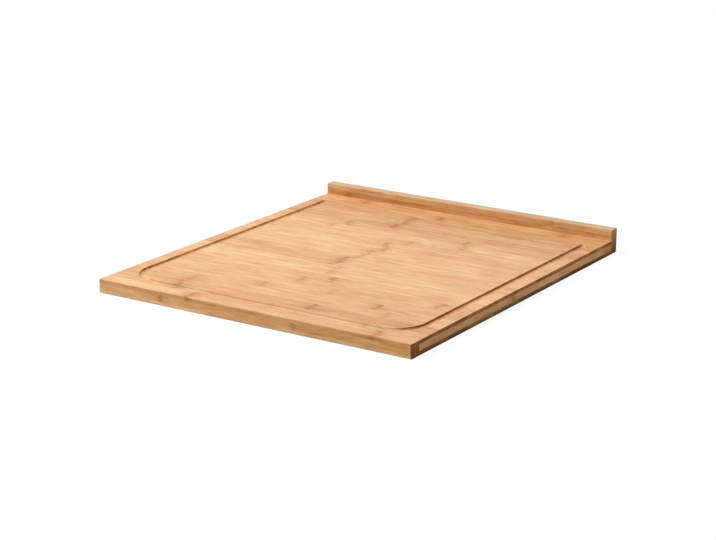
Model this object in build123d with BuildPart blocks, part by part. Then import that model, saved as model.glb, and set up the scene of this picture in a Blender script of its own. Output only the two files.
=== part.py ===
import os

from build123d import *

# Bamboo cutting board: three crossed plies of glued strips, a ledge glued
# across the back and a juice groove routed round three sides of the face.
# Millimetres. +X runs to the right, +Y to the ledge and +Z up. The origin is
# on the underside, below the middle of the board.

# Whole board
board_width = 460.0
board_depth = 530.0

# Plies of the panel
top_ply_thickness = 4.5
core_thickness = 8.5
bottom_ply_thickness = 4.5
face_strip_count = 24

# Core: a rail along the front and the back, cross strips between them
rail_depth = 18.0
core_strip_count = 21

# Ledge
ledge_depth = 15.5
ledge_rise = 15.0
ledge_strip_count = 4
ledge_round = 0.8

# Juice groove
groove_width = 10.0
groove_depth = 3.0
groove_side_inset = 22.5
groove_front_inset = 29.0
groove_rear_inset = 35.0
groove_corner_radius = 47.0

# Sanded edges
top_round = 0.8
bottom_round = 1.0
corner_round = 1.2

# Blanks reach this far past the finished form before they are trimmed
overrun = 5.0

# What follows from these sizes
core_top = bottom_ply_thickness + core_thickness
panel_thickness = core_top + top_ply_thickness
ledge_height = panel_thickness + ledge_rise
left = -board_width / 2
right = board_width / 2
front = -board_depth / 2
back = board_depth / 2
ledge_front = back - ledge_depth
ledge_middle = back - ledge_depth / 2
panel_depth = ledge_front - front

os.makedirs("parts", exist_ok=True)


# Saw lines that divide a stretch evenly; the two outer ones clear the form
def saw_lines(start, end, count):
    step = (end - start) / count
    inner = [start + step * line for line in range(1, count)]
    return [start - overrun, *inner, end + overrun]


# Blank between two corners, trimmed to the finished form that it is part of
def trimmed(low, high, form):
    size = Vector(*high) - Vector(*low)
    middle = (Vector(*high) + Vector(*low)) / 2
    with BuildPart() as blank:
        with BuildSketch(Plane.XY.offset(low[2])):
            with Locations((middle.X, middle.Y)):
                Rectangle(size.X, size.Y)
        extrude(amount=size.Z)
        add(form, mode=Mode.INTERSECT)
    return blank.part


def write(piece, node):
    piece.label = node
    export_step(piece, f"parts/{node}.step")


# Path of the router bit: a round-nosed bit as deep and as wide as the groove,
# run down the left, across the front and up the right
bit_radius = ((groove_width / 2) ** 2 + groove_depth**2) / (2 * groove_depth)
bit_height = panel_thickness - groove_depth + bit_radius
groove_reach = board_width / 2 - groove_side_inset
groove_front = front + groove_front_inset
groove_end = ledge_front - groove_rear_inset - groove_width / 2

with BuildPart() as router_cut:
    with BuildLine(Plane.XY.offset(bit_height)) as router_path:
        FilletPolyline(
            (-groove_reach, groove_end),
            (-groove_reach, groove_front),
            (groove_reach, groove_front),
            (groove_reach, groove_end),
            radius=groove_corner_radius,
        )
    path_start = router_path.line @ 0
    path_end = router_path.line @ 1
    with BuildSketch(Plane(path_start, x_dir=Axis.X.direction, z_dir=router_path.line % 0)):
        Circle(bit_radius)
        split(bisect_by=Plane.XZ, keep=Keep.TOP)
    sweep()
    with Locations(path_start, path_end):
        Sphere(bit_radius, arc_size2=0, align=(Align.CENTER, Align.CENTER, Align.MAX))

# Panel as it is after sanding and routing; its back face stays square for the ledge
with BuildPart() as panel:
    with BuildSketch() as panel_outline:
        with Locations((0, (front + ledge_front) / 2)):
            Rectangle(board_width, panel_depth)
        fillet(panel_outline.vertices().group_by(Axis.Y)[0], radius=corner_round)
    extrude(amount=panel_thickness)
    fillet(panel.faces().sort_by(Axis.Z)[0].edges().sort_by(Axis.Y)[:-1], radius=bottom_round)
    fillet(panel.faces().sort_by(Axis.Z)[-1].edges().sort_by(Axis.Y)[:-1], radius=top_round)
    add(router_cut.part, mode=Mode.SUBTRACT)

# Ledge as it is after sanding; up to the panel's face its front stays square for the panel
with BuildPart() as ledge:
    with BuildSketch() as lower_outline:
        with Locations((0, ledge_middle)):
            Rectangle(board_width, ledge_depth)
        fillet(lower_outline.vertices().group_by(Axis.Y)[-1], radius=corner_round)
    extrude(amount=panel_thickness)
    with BuildSketch(Plane.XY.offset(panel_thickness)) as upper_outline:
        with Locations((0, ledge_middle)):
            Rectangle(board_width, ledge_depth)
        fillet(upper_outline.vertices(), radius=corner_round)
    extrude(amount=ledge_rise)
    fillet(ledge.faces().sort_by(Axis.Z)[0].edges().sort_by(Axis.Y)[1:], radius=bottom_round)
    fillet(ledge.faces().sort_by(Axis.Z)[-1].edges(), radius=ledge_round)

# Blanks run past the form on every outer side
blank_left = left - overrun
blank_right = right + overrun
blank_front = front - overrun
blank_back = back + overrun
blank_bottom = -overrun
blank_top = panel_thickness + overrun

# Face strips of the top and the bottom ply, counted from the front
face_lines = saw_lines(front, ledge_front, face_strip_count)
for index, (near, far) in enumerate(zip(face_lines, face_lines[1:])):
    number = f"{index + 1:02d}"
    top_strip = trimmed((blank_left, near, core_top), (blank_right, far, blank_top), panel.part)
    write(top_strip, f"top_strip_{number}")
    bottom_strip = trimmed(
        (blank_left, near, blank_bottom), (blank_right, far, bottom_ply_thickness), panel.part
    )
    write(bottom_strip, f"bottom_strip_{number}")

# Rails of the core, along the front and along the ledge
cross_front = front + rail_depth
cross_back = ledge_front - rail_depth
front_rail = trimmed(
    (blank_left, blank_front, bottom_ply_thickness), (blank_right, cross_front, core_top), panel.part
)
write(front_rail, "core_front_rail")
rear_rail = trimmed(
    (blank_left, cross_back, bottom_ply_thickness), (blank_right, blank_back, core_top), panel.part
)
write(rear_rail, "core_rear_rail")

# Cross strips of the core: the outer two show on the board's sides
core_lines = saw_lines(left, right, core_strip_count)
cross_strips = [
    trimmed((near, cross_front, bottom_ply_thickness), (far, cross_back, core_top), panel.part)
    for near, far in zip(core_lines, core_lines[1:])
]
write(cross_strips[0], "core_left_strip")
write(cross_strips[-1], "core_right_strip")
write(Compound(children=cross_strips[1:-1]), "core_inner_strips")

# Strips of the ledge, stacked from the underside up
ledge_lines = saw_lines(0, ledge_height, ledge_strip_count)
for index, (foot, head) in enumerate(zip(ledge_lines, ledge_lines[1:])):
    ledge_strip = trimmed(
        (blank_left, ledge_front - overrun, foot), (blank_right, blank_back, head), ledge.part
    )
    write(ledge_strip, f"ledge_strip_{index + 1}")
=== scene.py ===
import math
import random

import bpy
from mathutils import Matrix, Vector


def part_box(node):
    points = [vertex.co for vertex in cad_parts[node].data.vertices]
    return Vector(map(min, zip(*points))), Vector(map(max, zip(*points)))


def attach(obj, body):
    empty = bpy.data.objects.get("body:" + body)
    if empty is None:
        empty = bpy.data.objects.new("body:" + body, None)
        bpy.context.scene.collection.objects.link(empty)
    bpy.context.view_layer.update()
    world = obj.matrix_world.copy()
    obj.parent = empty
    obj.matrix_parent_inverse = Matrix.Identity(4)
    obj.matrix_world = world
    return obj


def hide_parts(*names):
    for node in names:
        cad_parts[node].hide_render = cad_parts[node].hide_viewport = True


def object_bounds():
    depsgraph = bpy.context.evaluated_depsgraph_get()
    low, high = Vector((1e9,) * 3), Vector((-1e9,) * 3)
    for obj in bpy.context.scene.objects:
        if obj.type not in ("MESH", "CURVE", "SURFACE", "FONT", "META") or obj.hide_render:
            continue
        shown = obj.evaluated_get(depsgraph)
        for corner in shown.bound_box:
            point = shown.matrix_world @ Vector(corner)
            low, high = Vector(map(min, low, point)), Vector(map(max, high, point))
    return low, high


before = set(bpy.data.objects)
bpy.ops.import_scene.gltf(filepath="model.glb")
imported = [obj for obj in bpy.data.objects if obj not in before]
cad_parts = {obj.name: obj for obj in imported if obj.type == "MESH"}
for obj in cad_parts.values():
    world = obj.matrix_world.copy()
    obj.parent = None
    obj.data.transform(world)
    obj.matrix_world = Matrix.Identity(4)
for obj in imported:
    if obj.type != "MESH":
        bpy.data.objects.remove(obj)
cadLow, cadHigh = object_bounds()
nodeBoxes = {name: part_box(name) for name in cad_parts}
scene = bpy.context.scene
scene.view_settings.view_transform = "Standard"
print("frame:", len(nodeBoxes), "CAD pieces")

mmPerMetre = 1000
plainWhite = (1, 1, 1, 1)
noTint = (1, 1, 1)


# Small helpers for node trees
def emptyTree(owner):
    owner.use_nodes = True
    owner.node_tree.nodes.clear()
    return owner.node_tree


def addSockets(tree, direction, kind, *names):
    for name in names:
        tree.interface.new_socket(name, in_out=direction, socket_type="NodeSocket" + kind)


def setInput(tree, socket, value):
    if isinstance(value, bpy.types.NodeSocket):
        tree.links.new(value, socket)
    else:
        socket.default_value = value


def addNode(tree, kind, inputs=None, **settings):
    node = tree.nodes.new(kind)
    for name, value in settings.items():
        setattr(node, name, value)
    for name, value in (inputs or {}).items():
        setInput(tree, node.inputs[name], value)
    return node


def calc(tree, operation, *values, clamp=False):
    node = addNode(tree, "ShaderNodeMath", operation=operation, use_clamp=clamp)
    for socket, value in zip(node.inputs, values):
        setInput(tree, socket, value)
    return node.outputs[0]


def vectorCalc(tree, operation, *values):
    node = addNode(tree, "ShaderNodeVectorMath", operation=operation)
    for socket, value in zip(node.inputs, values):
        setInput(tree, socket, value)
    return node.outputs[0]


def ease(tree, value, start, end, low=0.0, high=1.0):  # smooth step from low at start to high at end
    limits = {"Value": value, "From Min": start, "From Max": end, "To Min": low, "To Max": high}
    return addNode(tree, "ShaderNodeMapRange", limits, interpolation_type="SMOOTHSTEP").outputs[0]


def mixColour(tree, share, first, second, blend="MIX", clamp=True):
    settings = {"data_type": "RGBA", "blend_type": blend, "clamp_factor": clamp}
    return addNode(tree, "ShaderNodeMix", {0: share, 6: first, 7: second}, **settings).outputs[2]


def mixShader(tree, share, first, second):
    return addNode(tree, "ShaderNodeMixShader", {0: share, 1: first.outputs[0], 2: second.outputs[0]})


def attribute(tree, name, output="Fac"):
    return addNode(tree, "ShaderNodeAttribute", attribute_name=name).outputs[output]


def seenDirectly(tree):  # camera, glossy and transmission rays
    path = addNode(tree, "ShaderNodeLightPath")
    seen = calc(tree, "MAXIMUM", path.outputs["Is Camera Ray"], path.outputs["Is Glossy Ray"])
    return calc(tree, "MAXIMUM", seen, path.outputs["Is Transmission Ray"])


# Camera, at the photograph's angle
camera = {
    "azimuth": 32.963,
    "elevation": 16.785,
    "roll": 0.222,
    "lens": 100.377,
    "sensor": 36.0,
    "place": (1.34702, -2.09894, 0.75339),
}


def placeCamera():
    turn, rise, roll = (math.radians(camera[name]) for name in ("azimuth", "elevation", "roll"))
    back = Vector((math.sin(turn) * math.cos(rise), -math.cos(turn) * math.cos(rise), math.sin(rise)))
    right = Vector((math.cos(turn), math.sin(turn), 0))
    axes = Matrix((right, back.cross(right), back)).transposed() @ Matrix.Rotation(roll, 3, "Z")
    lens = bpy.data.cameras.new("camera")
    lens.lens = camera["lens"]
    lens.sensor_width = camera["sensor"]
    eye = bpy.data.objects.new("camera", lens)
    eye.matrix_world = Matrix.Translation(camera["place"]) @ axes.to_4x4()
    scene.collection.objects.link(eye)
    scene.camera = eye


# Studio, lengths in metres: white floor, even sky light and one soft lamp from the upper left
studio = {
    "floorHalf": 4.0,
    "floorDrop": 0.0002,                # keeps the floor clear of the underside
    "floorColour": (0.78, 0.78, 0.77, 1),
    "shadowShare": 0.11,                # how much of the floor's own light the camera sees
    "floorGlow": 0.91,
    # painted contact shadow where the board meets the floor
    "paintedContactShadow": (0.09, 0.065, 0.045, 1),
    "paintedShadowReach": (0.0015, 0.0005),   # how far the painted contact shadow shows past the left and right edges and the front
    "paintedShadowSoft": 0.0012,
    "paintedShadowFront": 0.75,               # how dark the painted contact shadow is along the lit front
    "fadeStart": 0.55,                  # from here out the floor turns to plain white
    "fadeEnd": 1.1,
    "skyStrength": 0.42,
    "lampPower": 145.0,
    "lampSize": 2.2,
    "lampDistance": 4.4,
    "lampDirection": (-0.46, -0.14, 0.72),
}


def makeFloorPaint():
    paint = bpy.data.materials.new("studioFloor")
    tree = emptyTree(paint)
    place = addNode(tree, "ShaderNodeTexCoord").outputs["Object"]
    away = addNode(tree, "ShaderNodeVectorMath", {0: place}, operation="LENGTH").outputs["Value"]
    fade = ease(tree, away, studio["fadeStart"], studio["fadeEnd"])

    # painted contact shadow: the floor dark under the board's foot, fainter along the front
    axes = addNode(tree, "ShaderNodeSeparateXYZ", {0: place}).outputs
    insets = []
    for axis, reach in enumerate(studio["paintedShadowReach"]):
        fromMiddle = calc(tree, "ABSOLUTE", axes[axis])
        insets.append(calc(tree, "SUBTRACT", cadHigh[axis] + reach, fromMiddle))
    under = ease(tree, calc(tree, "MINIMUM", *insets), 0.0, studio["paintedShadowSoft"])
    atSide = ease(tree, calc(tree, "LESS_THAN", *insets), 0.0, 1.0, studio["paintedShadowFront"], 1.0)
    under = calc(tree, "MULTIPLY", under, atSide)

    plain = addNode(tree, "ShaderNodeBsdfDiffuse", {"Color": studio["floorColour"]})
    share = studio["shadowShare"]
    caught = addNode(tree, "ShaderNodeBsdfDiffuse", {"Color": (share, share, share, 1)})
    glow = addNode(tree, "ShaderNodeEmission", {"Strength": studio["floorGlow"]})
    farWhite = addNode(tree, "ShaderNodeEmission", {"Strength": 1.0})
    near = addNode(tree, "ShaderNodeAddShader", {0: caught.outputs[0], 1: glow.outputs[0]})
    # dark paint standing in for the shadow at the board's foot
    dark = addNode(tree, "ShaderNodeBsdfDiffuse", {"Color": studio["paintedContactShadow"]})
    shown = mixShader(tree, fade, near, farWhite)
    shown = mixShader(tree, under, shown, dark)
    both = mixShader(tree, seenDirectly(tree), plain, shown)
    addNode(tree, "ShaderNodeOutputMaterial", {"Surface": both.outputs[0]})
    return paint


def makeFloor():
    half = studio["floorHalf"]
    corners = [(-half, -half), (half, -half), (half, half), (-half, half)]
    mesh = bpy.data.meshes.new("floor")
    mesh.from_pydata([(x, y, -studio["floorDrop"]) for x, y in corners], [], [(0, 1, 2, 3)])
    mesh.materials.append(makeFloorPaint())
    floor = bpy.data.objects.new("floor", mesh)
    scene.collection.objects.link(floor)


def makeSky():
    sky = bpy.data.worlds.new("studioSky")
    scene.world = sky
    tree = emptyTree(sky)
    light = addNode(tree, "ShaderNodeBackground", {"Color": plainWhite, "Strength": studio["skyStrength"]})
    backdrop = addNode(tree, "ShaderNodeBackground", {"Color": plainWhite, "Strength": 1.0})
    both = mixShader(tree, seenDirectly(tree), light, backdrop)
    addNode(tree, "ShaderNodeOutputWorld", {"Surface": both.outputs[0]})


def makeLamp():
    lamp = bpy.data.lights.new("softbox", "AREA")
    lamp.energy = studio["lampPower"]
    lamp.size = studio["lampSize"]
    towards = Vector(studio["lampDirection"]).normalized()
    softbox = bpy.data.objects.new("softbox", lamp)
    softbox.location = towards * studio["lampDistance"]
    softbox.rotation_euler = towards.to_track_quat("Z", "Y").to_euler()
    scene.collection.objects.link(softbox)


placeCamera()
makeFloor()
makeSky()
makeLamp()
print("studio: camera, floor, sky and lamp are in place")

# Bamboo: the same volume of fibres runs through every strip, in mm with the grain along X
bamboo = {
    "seedStep": (97.0, 61.0, 43.0),      # how far apart two strips are cut from the culm
    "swayLength": (150.0, 30.0, 30.0),
    "swayReach": 2.4,
    "broadStreak": (55.0, 8.0, 8.0),     # length, width and depth of the streaks
    "middleStreak": (20.0, 2.6, 2.6),
    "fineStreak": (10.0, 0.7, 0.7),
    "streakDepths": (1.6, 1.3, 0.85),
    "bundleCell": (300.0, 1.0, 1.0),     # one fibre bundle
    "bundleEdge": (0.36, 0.10),          # shares of its cell where the bundle begins and is full
    "bundleTone": -0.10,
    "bundleEndTone": -0.55,
    "toneDepth": 0.45,
    "toneChange": 3.0,                   # half the stretch in which a tone changes at a node
    "hueLength": (60.0, 40.0, 40.0),
    "hueSpread": 4.0,
    "straw": (0.98, 1.003, 0.957),       # tints of the yellower and of the pinker patches
    "pink": (0.996, 0.91, 0.895),
    "markWobble": 9.0,
    "markWobbleLength": (400.0, 13.0, 13.0),
    "markFeathers": (16.0, 70.0),        # of the line and of the smudge around it
    "markReaches": (7.0, 22.0),
    "markDepths": (0.75, 0.5),
    "markBreaks": (3.0, 0.85),           # how far the streaks break a mark up, and how much is left
    "glueHalf": 0.00026,                 # metres either side of a joint
    "glueBreaks": (2.5, 0.8),
    "endStart": 0.28,                    # share of the normal that faces along the grain
    "endFull": 0.72,
    "endLevel": 1.05,
    "endStreak": 1.2,
    "leftBlend": 20.0,                   # the left end's look starts this far right of the middle
    "slant": 0.35,                       # how much a slanting cut hides the ends on the left
    "roughness": 0.5,
    "roughStreak": 0.25,
    "roughEnd": 0.35,
    "gloss": (0.35, 0.06),               # of the long grain and of the end grain
    "refraction": 1.45,
    "relief": (0.5, 0.6, -0.25, 0.4, -0.8),  # of middle and fine streaks, bundles, nodes and glue
    "reliefStrength": 0.25,
    "reliefHeight": 0.0002,              # metres
    "turns": {"X": 0.0, "Y": -math.pi / 2},  # lay either grain along X
    "across": {"X": "Y", "Y": "X"},
}


def noise(tree, place, cell, detail=2.0):  # about -0.5 to 0.5, in cells of this size
    scaled = vectorCalc(tree, "DIVIDE", place, cell)
    texture = addNode(tree, "ShaderNodeTexNoise", {"Vector": scaled, "Scale": 1.0, "Detail": detail})
    return calc(tree, "SUBTRACT", texture.outputs["Fac"], 0.5)


def layFibres(tree, own):  # broad, middle and fine streaks that wander a little, and the bundles
    sway = calc(tree, "MULTIPLY", noise(tree, own, bamboo["swayLength"]), bamboo["swayReach"])
    swayed = addNode(tree, "ShaderNodeCombineXYZ", {"Y": sway, "Z": sway}).outputs[0]
    fibres = vectorCalc(tree, "ADD", own, swayed)
    streaks = [noise(tree, fibres, bamboo[size]) for size in ("broadStreak", "middleStreak", "fineStreak")]
    cells = vectorCalc(tree, "DIVIDE", fibres, bamboo["bundleCell"])
    spread = addNode(tree, "ShaderNodeTexVoronoi", {"Vector": cells, "Scale": 1.0}).outputs["Distance"]
    return streaks, ease(tree, spread, *bamboo["bundleEdge"])


def stainNodes(tree, waved, middle):  # a wavy line in a soft smudge, feathered along the fibres
    unbroken = calc(tree, "MULTIPLY_ADD", middle, *bamboo["markBreaks"], clamp=True)
    shapes = list(zip(bamboo["markFeathers"], bamboo["markReaches"], bamboo["markDepths"]))
    masks = []
    for number in (1, 2):
        centre = attribute(tree, f"mark{number}")
        mask = 0.0
        for feather, reach, depth in shapes:
            place = calc(tree, "MULTIPLY_ADD", middle, feather, waved)
            near = calc(tree, "ABSOLUTE", calc(tree, "SUBTRACT", place, centre))
            mask = calc(tree, "ADD", ease(tree, near, reach, 0.0, 0.0, depth), mask)
        darkness = calc(tree, "MULTIPLY", attribute(tree, f"mark{number}Depth"), unbroken)
        masks.append(calc(tree, "MULTIPLY", mask, darkness))
    return calc(tree, "MAXIMUM", *masks)


def stripTone(tree, waved):  # a strip's tone may change at its first node
    change = bamboo["toneChange"]
    past = ease(tree, calc(tree, "SUBTRACT", waved, attribute(tree, "mark1")), -change, change)
    leftTone = attribute(tree, "toneLeft")
    step = calc(tree, "SUBTRACT", attribute(tree, "toneRight"), leftTone)
    return calc(tree, "MULTIPLY_ADD", step, past, leftTone)


def colourLongGrain(tree, given, own, tone, streaks, bundles):  # deep to pale, in straw and pink patches
    level = calc(tree, "MULTIPLY_ADD", tone, bamboo["toneDepth"], 0.5)
    for streak, depth in zip(streaks, bamboo["streakDepths"]):
        deeper = calc(tree, "MULTIPLY", streak, depth)
        level = calc(tree, "MULTIPLY_ADD", deeper, given["Contrast"], level)
    level = calc(tree, "MULTIPLY_ADD", bundles, bamboo["bundleTone"], level)
    colour = mixColour(tree, level, given["Deep"], given["Pale"], clamp=False)
    patches = noise(tree, own, bamboo["hueLength"], 1.0)
    pinkness = calc(tree, "MULTIPLY_ADD", patches, bamboo["hueSpread"], 0.5, clamp=True)
    hue = mixColour(tree, pinkness, (*bamboo["straw"], 1), (*bamboo["pink"], 1))
    return mixColour(tree, 1.0, colour, hue, "MULTIPLY")


def colourEndGrain(tree, given, onLeft, broad, bundles):  # dark, dotted with the cut bundles
    level = calc(tree, "ADD", attribute(tree, "endTone"), bamboo["endLevel"])
    level = calc(tree, "MULTIPLY_ADD", broad, bamboo["endStreak"], level)
    level = calc(tree, "MULTIPLY_ADD", bundles, bamboo["bundleEndTone"], level)
    shade = addNode(tree, "ShaderNodeCombineColor", {0: level, 1: level, 2: level}).outputs[0]
    colour = mixColour(tree, 1.0, given["End"], shade, "MULTIPLY")
    return mixColour(tree, onLeft, colour, given["LeftEnd"], "MULTIPLY")


def drawGlue(tree, strength, broad):  # thin dark lines where the strip meets its neighbours
    place = addNode(tree, "ShaderNodeTexCoord").outputs["Object"]
    toLow = vectorCalc(tree, "SUBTRACT", place, attribute(tree, "jointLow", "Vector"))
    toHigh = vectorCalc(tree, "SUBTRACT", attribute(tree, "jointHigh", "Vector"), place)
    nearest = vectorCalc(tree, "MINIMUM", toLow, toHigh)
    gaps = addNode(tree, "ShaderNodeSeparateXYZ", {0: nearest}).outputs
    gap = calc(tree, "MINIMUM", calc(tree, "MINIMUM", gaps["X"], gaps["Y"]), gaps["Z"])
    line = ease(tree, gap, bamboo["glueHalf"], 0.0, 0.0, strength)
    unbroken = calc(tree, "MULTIPLY_ADD", broad, *bamboo["glueBreaks"], clamp=True)
    return calc(tree, "MULTIPLY", line, unbroken)


def makeBambooGroup():
    tree = bpy.data.node_groups.new("bambooFibres", "ShaderNodeTree")
    addSockets(tree, "INPUT", "Vector", "Grain")
    addSockets(tree, "INPUT", "Float", "Facing", "Slanting", "Contrast", "Glue")
    addSockets(tree, "INPUT", "Color", "Pale", "Deep", "Mark", "End", "LeftEnd")
    addSockets(tree, "OUTPUT", "Color", "Colour")
    addSockets(tree, "OUTPUT", "Float", "Roughness", "Gloss", "Height")
    given = addNode(tree, "NodeGroupInput").outputs
    step = {0: bamboo["seedStep"], "Scale": attribute(tree, "seed")}
    shift = addNode(tree, "ShaderNodeVectorMath", step, operation="SCALE").outputs[0]
    own = vectorCalc(tree, "ADD", given["Grain"], shift)
    streaks, bundles = layFibres(tree, own)
    broad, middle, fine = streaks

    along = addNode(tree, "ShaderNodeSeparateXYZ", {0: given["Grain"]}).outputs["X"]
    wobble = noise(tree, own, bamboo["markWobbleLength"], 1.0)
    waved = calc(tree, "MULTIPLY_ADD", wobble, bamboo["markWobble"], along)
    marks = stainNodes(tree, waved, middle)
    longGrain = colourLongGrain(tree, given, own, stripTone(tree, waved), streaks, bundles)
    longGrain = mixColour(tree, marks, longGrain, given["Mark"], "MULTIPLY")

    onLeft = ease(tree, along, bamboo["leftBlend"], -bamboo["leftBlend"])
    endGrain = colourEndGrain(tree, given, onLeft, broad, bundles)
    hidden = calc(tree, "MULTIPLY", calc(tree, "MULTIPLY", given["Slanting"], bamboo["slant"]), onLeft)
    facing = calc(tree, "SUBTRACT", given["Facing"], hidden)
    ending = ease(tree, facing, bamboo["endStart"], bamboo["endFull"])
    colour = mixColour(tree, ending, longGrain, endGrain)
    glue = drawGlue(tree, given["Glue"], broad)
    colour = mixColour(tree, glue, colour, given["End"])

    rough = calc(tree, "MULTIPLY_ADD", middle, bamboo["roughStreak"], bamboo["roughness"])
    rough = calc(tree, "MULTIPLY_ADD", ending, bamboo["roughEnd"], rough)
    gloss = ease(tree, ending, 0.0, 1.0, *bamboo["gloss"])
    height = 0.0
    for source, lift in zip((middle, fine, bundles, marks, glue), bamboo["relief"]):
        height = calc(tree, "MULTIPLY_ADD", source, lift, height)
    finish = {"Colour": colour, "Roughness": rough, "Gloss": gloss, "Height": height}
    addNode(tree, "NodeGroupOutput", finish)
    return tree


bambooGroup = makeBambooGroup()


def paintLightAndShade(tree, look, coordinates, normal, plain):
    colour = plain
    # painted light and shade, by how far a face turns to an axis
    for axis, start, full, tint in look["sides"]:
        turned = ease(tree, calc(tree, "ABSOLUTE", normal[axis]), start, full)
        colour = mixColour(tree, turned, colour, (*tint, 1), "MULTIPLY")
    # painted shade on the front face and over its arris
    if "paintedFrontShade" in look:
        reach, tint = look["paintedFrontShade"]
        depth = addNode(tree, "ShaderNodeSeparateXYZ", {0: coordinates["Object"]}).outputs["Y"]
        edge = ease(tree, depth, cadLow[1] + reach, cadLow[1])
        front = mixColour(tree, 1.0, plain, (*tint, 1), "MULTIPLY")
        colour = mixColour(tree, edge, colour, front)
    return colour


def makeBamboo(name, look):
    material = bpy.data.materials.new(name)
    tree = emptyTree(material)
    coordinates = addNode(tree, "ShaderNodeTexCoord").outputs
    turn = (0, 0, bamboo["turns"][look["grain"]])
    mapping = {"Vector": coordinates["Object"], "Rotation": turn, "Scale": (mmPerMetre,) * 3}
    normal = addNode(tree, "ShaderNodeSeparateXYZ", {0: coordinates["Normal"]}).outputs
    inputs = {part.title(): (*look[part], 1) for part in ("pale", "deep", "mark", "end")}
    inputs["LeftEnd"] = (*look.get("leftEnd", noTint), 1)
    inputs["Contrast"] = look["contrast"]
    inputs["Glue"] = look["glue"]
    inputs["Grain"] = addNode(tree, "ShaderNodeMapping", mapping).outputs[0]
    inputs["Facing"] = calc(tree, "ABSOLUTE", normal[look["grain"]])
    inputs["Slanting"] = calc(tree, "ABSOLUTE", normal[bamboo["across"][look["grain"]]])
    fibres = addNode(tree, "ShaderNodeGroup", node_tree=bambooGroup)
    for socket, value in inputs.items():
        setInput(tree, fibres.inputs[socket], value)
    relief = addNode(tree, "ShaderNodeBump", {
        "Height": fibres.outputs["Height"],
        "Strength": bamboo["reliefStrength"],
        "Distance": bamboo["reliefHeight"],
    })
    shader = addNode(tree, "ShaderNodeBsdfPrincipled", {
        "Base Color": paintLightAndShade(tree, look, coordinates, normal, fibres.outputs["Colour"]),
        "Roughness": fibres.outputs["Roughness"],
        "Normal": relief.outputs[0],
        "IOR": bamboo["refraction"],
        "Specular IOR Level": fibres.outputs["Gloss"],
    })
    addNode(tree, "ShaderNodeOutputMaterial", {"Surface": shader.outputs[0]})
    return material


# Sanding: welds a strip's mesh, keeps its arrises crisp and hands its make-up to the bamboo
sanding = {
    "weld": 1e-6,                # metres
    "touch": 1e-5,               # neighbours nearer than this are glued
    "crease": math.radians(38),  # arrises sharper than this stay crisp
}
stripFloats = ["seed", "toneLeft", "toneRight", "endTone", "mark1", "mark1Depth", "mark2", "mark2Depth"]
stripVectors = ["jointLow", "jointHigh"]
farOff = 1.0                     # metres: stands for a face with no joint, or a node off the strip


def makeSandingTree():
    tree = bpy.data.node_groups.new("sandStrip", "GeometryNodeTree")
    tree.is_modifier = True
    addSockets(tree, "INPUT", "Geometry", "Geometry")
    addSockets(tree, "OUTPUT", "Geometry", "Geometry")
    addSockets(tree, "INPUT", "Float", "weld", "crease", *stripFloats)
    addSockets(tree, "INPUT", "Vector", *stripVectors)
    addSockets(tree, "INPUT", "Material", "finish")
    given = addNode(tree, "NodeGroupInput").outputs
    weld = {"Geometry": given["Geometry"], "Distance": given["weld"]}
    shape = addNode(tree, "GeometryNodeMergeByDistance", weld).outputs[0]
    smooth = {"Geometry": shape, "Shade Smooth": True}
    shape = addNode(tree, "GeometryNodeSetShadeSmooth", smooth).outputs[0]
    angle = addNode(tree, "GeometryNodeInputMeshEdgeAngle").outputs["Unsigned Angle"]
    crisp = calc(tree, "GREATER_THAN", angle, given["crease"])
    crease = {"Geometry": shape, "Selection": crisp, "Shade Smooth": False}
    shape = addNode(tree, "GeometryNodeSetShadeSmooth", crease, domain="EDGE").outputs[0]
    for name in stripFloats + stripVectors:
        kind = "FLOAT_VECTOR" if name in stripVectors else "FLOAT"
        store = addNode(tree, "GeometryNodeStoreNamedAttribute", data_type=kind, domain="FACE")
        for socket, value in (("Geometry", shape), ("Name", name), ("Value", given[name])):
            setInput(tree, store.inputs[socket], value)
        shape = store.outputs[0]
    shape = addNode(tree, "GeometryNodeRealizeInstances", {"Geometry": shape}).outputs[0]
    coat = {"Geometry": shape, "Material": given["finish"]}
    shape = addNode(tree, "GeometryNodeSetMaterial", coat).outputs[0]
    addNode(tree, "NodeGroupOutput", {0: shape})
    return tree


sandingTree = makeSandingTree()


def gluedFaces(node):  # planes of a piece's box that its neighbours cover by more than half
    low, high = nodeBoxes[node]
    joints = {"jointLow": Vector((-farOff,) * 3), "jointHigh": Vector((farOff,) * 3)}
    for axis in range(3):
        others = [other for other in range(3) if other != axis]
        area = math.prod(high[other] - low[other] for other in others)
        for name, plane, facing in (("jointLow", low[axis], 1), ("jointHigh", high[axis], 0)):
            covered = 0.0
            for neighbour, box in nodeBoxes.items():
                if neighbour == node or abs(box[facing][axis] - plane) > sanding["touch"]:
                    continue
                spans = [min(high[side], box[1][side]) - max(low[side], box[0][side]) for side in others]
                covered += math.prod(max(span, 0.0) for span in spans)
            if covered > area / 2:
                joints[name][axis] = plane
    return joints


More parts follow.
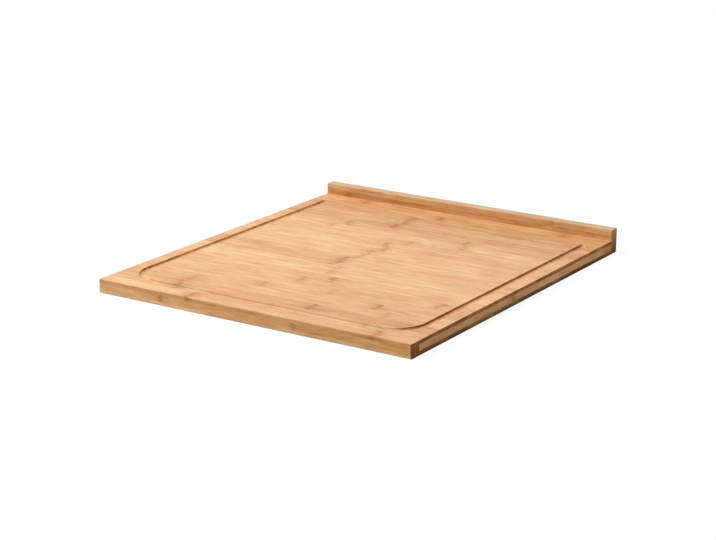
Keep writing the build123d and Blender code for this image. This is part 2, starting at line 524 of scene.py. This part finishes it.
def sandStrip(node, material, seed, tones, endTone, marks):
    blank = bpy.data.objects.new(node + "_blank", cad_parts[node].data.copy())
    scene.collection.objects.link(blank)
    values = {"weld": sanding["weld"], "crease": sanding["crease"], "finish": material}
    values.update(seed=seed, toneLeft=tones[0], toneRight=tones[1], endTone=endTone)
    values.update(gluedFaces(node))
    noMark = (farOff * mmPerMetre, 0.0)
    for number, (place, depth) in zip((1, 2), [*marks, noMark, noMark]):
        values[f"mark{number}"] = place
        values[f"mark{number}Depth"] = depth
    sand = blank.modifiers.new("sand", "NODES")
    sand.node_group = sandingTree
    for socket in sandingTree.interface.items_tree:
        if socket.in_out == "INPUT" and socket.name in values:
            value = values[socket.name]
            sand[socket.identifier] = float(value) if isinstance(value, (int, float)) else value
    blank.modifiers.new("even", "WEIGHTED_NORMAL").keep_sharp = True
    bpy.context.view_layer.update()
    evaluated = blank.evaluated_get(bpy.context.evaluated_depsgraph_get())
    mesh = bpy.data.meshes.new_from_object(evaluated)
    bpy.data.objects.remove(blank)
    strip = bpy.data.objects.new(node + "_sanded", mesh)
    scene.collection.objects.link(strip)
    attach(strip, "root")
    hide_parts(node)


def drawEnd(look, index, count, lots):  # tone of a face strip's ends
    quarter = look["endTones"][index * len(look["endTones"]) // count]
    return quarter + lots.uniform(-1, 1) * look["endSpread"]


# Top ply, strips counted from the front: tone left and right of the first node, then
# each node's place in mm from the middle and how dark it is. Faces get painted light and
# shade where they turn to an axis, from the first share of the normal to the second
topPly = {
    "grain": "X",
    "contrast": 1.0,
    "glue": 0.4,
    "pale": (0.935, 0.58, 0.294),
    "deep": (0.693, 0.348, 0.147),
    "mark": (0.62, 0.42, 0.20),
    "end": (0.37, 0.146, 0.043),
    "leftEnd": (1.52, 1.72, 1.75),               # tint of the paler ends on the left
    "sides": [
        ("Y", 0.15, 0.45, (1.07, 1.16, 1.16)),   # painted light on the groove's gentler banks that face front or back
        ("Y", 0.68, 0.84, (0.80, 0.76, 0.72)),   # painted shade on the groove's steep lips and on faces turned to the front
    ],
    "paintedFrontShade": (0.0028, (0.84, 0.73, 0.60)),   # painted shade on the front face and over its arris: how far in metres it reaches onto the top, and its tint
    "endTones": (-0.15, 0.17, 0.05, 0.08),       # of the ends, for each quarter from the front
    "endSpread": 0.18,
    "endSeed": 7,
    "firstSeed": 1,
    "strips": [
        (0.6, 0.1, (-92, 0.9), (177, 0.9)),
        (-0.2, -0.35, (-133, 0.9), (148, 0.6)),
        (-0.5, -0.8, (58, 0.9), (-137, 0.6)),
        (0.0, 0.0, (-135, 0.5), (150, 0.5)),
        (0.1, -0.1, (125, 0.9), (-45, 0.6)),
        (0.1, -0.2, (43, 0.3)),
        (0.1, -0.1, (-17, 0.6), (187, 0.8)),
        (0.3, 0.1, (16, 0.8)),
        (0.6, 0.5, (-5, 0.5)),
        (0.4, 0.5, (-4, 0.5)),
        (-0.3, 0.2, (-22, 0.9)),
        (-0.4, 0.1, (-22, 0.9)),
        (0.4, 0.4, (-13, 0.7)),
        (0.4, 0.4, (-12, 0.7)),
        (0.5, 0.3, (-2, 0.8)),
        (0.2, 0.0, (-12, 0.8)),
        (0.1, -0.1, (9, 0.6)),
        (0.3, 0.4, (-128, 0.5), (82, 0.7)),
        (-0.1, -0.4, (-115, 0.7), (73, 0.7)),
        (-0.95, -1.0, (-53, 0.9)),
        (-0.65, -0.55, (-48, 0.9)),
        (-0.95, -1.15, (-52, 0.9)),
        (-0.8, -1.1, (-18, 1.0)),
        (-0.3, -0.6, (-153, 0.7), (163, 0.7)),
    ],
}

topMaterial = makeBamboo("bambooTopPly", topPly)
lots = random.Random(topPly["endSeed"])
for index, (left, right, *marks) in enumerate(topPly["strips"]):
    node = f"top_strip_{index + 1:02d}"
    seed = topPly["firstSeed"] + index
    endTone = drawEnd(topPly, index, len(topPly["strips"]), lots)
    sandStrip(node, topMaterial, seed, (left, right), endTone, marks)
print("top ply:", len(topPly["strips"]), "strips")

# Bottom ply: out of sight but for its front strip and its ends, so tones and nodes are drawn by lot
bottomPly = {
    "grain": "X",
    "contrast": 1.0,
    "glue": 0.4,
    "pale": (0.93, 0.59, 0.32),
    "deep": (0.69, 0.365, 0.165),
    "mark": (0.62, 0.42, 0.20),
    "end": (0.30, 0.152, 0.060),
    # painted light: faces turned to the front and back paler, as if lit from the floor
    "sides": [("Y", 0.5, 0.95, (1.01, 1.09, 1.15))],
    "endTones": (0.0, 0.25, 0.0, -0.2),
    "endSpread": 0.25,
    "front": (0.6, -0.4, (-60, 0.4), (170, 0.5)),
    "strips": 24,
    "lotSeed": 31,
    "toneSpread": 0.7,
    "markReach": 200,
    "markDepths": (0.4, 0.9),
    "firstSeed": 40,
}

bottomMaterial = makeBamboo("bambooBottomPly", bottomPly)
lots = random.Random(bottomPly["lotSeed"])
for index in range(bottomPly["strips"]):
    node = f"bottom_strip_{index + 1:02d}"
    seed = bottomPly["firstSeed"] + index
    tones = [lots.uniform(-1, 1) * bottomPly["toneSpread"] for side in range(2)]
    marks = []
    for mark in range(2):
        place = lots.uniform(-1, 1) * bottomPly["markReach"]
        marks.append((place, lots.uniform(*bottomPly["markDepths"])))
    endTone = drawEnd(bottomPly, index, bottomPly["strips"], lots)
    if index == 0:
        *tones, first, second = bottomPly["front"]
        marks = [first, second]
    sandStrip(node, bottomMaterial, seed, tones, endTone, marks)
print("bottom ply:", bottomPly["strips"], "strips")

# Core: rails along the front and the ledge, cross strips between them. From here on
# the tone of a strip's ends stands third
coreRails = {
    "grain": "X",
    "contrast": 1.2,
    "glue": 0.45,
    "pale": (0.93, 0.53, 0.23),
    "deep": (0.72, 0.36, 0.125),
    "mark": (0.58, 0.42, 0.28),
    "end": (0.44, 0.19, 0.06),
    "sides": [],
    "firstSeed": 70,
    "strips": {
        # painted shade: the front rail's tone steps down past its first node, for the light falling off
        # towards the right
        "core_front_rail": (0.0, -0.9, -0.45, (66, 0.75), (-132, 0.7)),
        "core_rear_rail": (0.0, 0.0, 0.42, (-90, 0.7), (120, 0.7)),
    },
}
coreStrips = {
    "grain": "Y",
    "contrast": 1.8,
    "glue": 0.45,
    "pale": (0.78, 0.42, 0.17),
    "deep": (0.58, 0.285, 0.10),
    "mark": (0.58, 0.42, 0.28),
    "end": (0.40, 0.17, 0.055),
    "sides": [],
    "firstSeed": 72,
    "strips": {
        "core_left_strip": (0.1, -0.1, 0.0, (70, 0.8)),
        "core_right_strip": (-0.6, 0.2, 0.0, (-22, 0.8), (231, 0.6)),
        "core_inner_strips": (0.0, 0.0, 0.0, (40, 0.8)),
    },
}

coreLooks = [("bambooCoreRails", "core_rails", coreRails), ("bambooCoreStrips", "core_strips", coreStrips)]
for name, slot, look in coreLooks:
    material = makeBamboo(name, look)
    for index, (node, (left, right, endTone, *marks)) in enumerate(look["strips"].items()):
        sandStrip(node, material, look["firstSeed"] + index, (left, right), endTone, marks)
print("core: two rails and the cross strips")

# Ledge, strips counted from the underside up
ledge = {
    "grain": "X",
    "contrast": 1.2,
    "glue": 0.8,
    "pale": (0.885, 0.568, 0.288),
    "deep": (0.63, 0.337, 0.129),
    "mark": (0.58, 0.42, 0.28),
    "end": (0.38, 0.185, 0.08),
    # painted sheen: the ledge's upturned face less saturated, as in a glancing reflection
    "sides": [("Z", 0.5, 0.95, (0.82, 0.885, 0.99))],
    "firstSeed": 80,
    "strips": [
        (-0.2, 0.1, -0.4, (40, 0.7)),
        (0.1, -0.2, -0.2, (-120, 0.7)),
        (-0.5, -0.6, 0.1, (-193, 0.6)),
        (0.3, 0.5, 0.25, (140, 0.4)),
    ],
}

ledgeMaterial = makeBamboo("bambooLedge", ledge)
for index, (left, right, endTone, *marks) in enumerate(ledge["strips"]):
    node = f"ledge_strip_{index + 1}"
    sandStrip(node, ledgeMaterial, ledge["firstSeed"] + index, (left, right), endTone, marks)
print("ledge:", len(ledge["strips"]), "strips")
